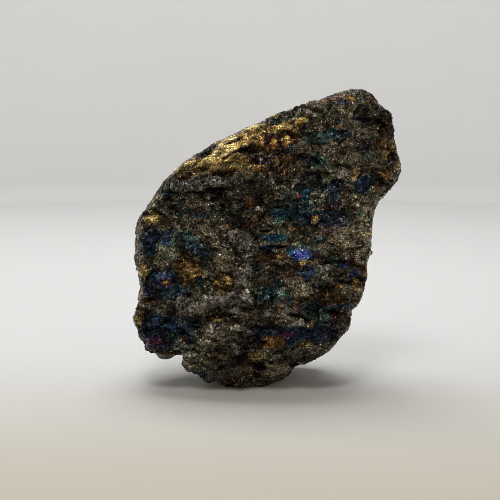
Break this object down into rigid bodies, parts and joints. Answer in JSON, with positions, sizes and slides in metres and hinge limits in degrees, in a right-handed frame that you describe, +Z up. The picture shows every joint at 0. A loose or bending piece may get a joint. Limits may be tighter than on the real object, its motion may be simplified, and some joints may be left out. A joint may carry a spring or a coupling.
{
  "type": "peacock ore specimen",
  "caption": "Rough lump of tarnished peacock ore, dark with iridescent blue, violet and gold patches and grey quartz, standing on a small flat spot.",
  "frame": {"origin": "on the ground under the middle of the stone's width and depth", "axes": "+Z up, the tall way of the stone; -Y the broad flat face; +X to the right seen from that face, towards the side with the pointed head"},
  "size_m": [0.0654, 0.0484, 0.0734],
  "materials": {
    "ore": "rough broken sulphide, dark grey-brown with blue, teal, violet, copper and gold tarnish, fine metallic sparkle",
    "quartz": "grey translucent-looking quartz grains, slightly glassy",
    "fresh_sulphide": "brassy yellow fresh sulphide grains, metallic"
  },
  "bodies": {
    "root": {"ore_stone": "ore"}
  },
  "joints": []
}
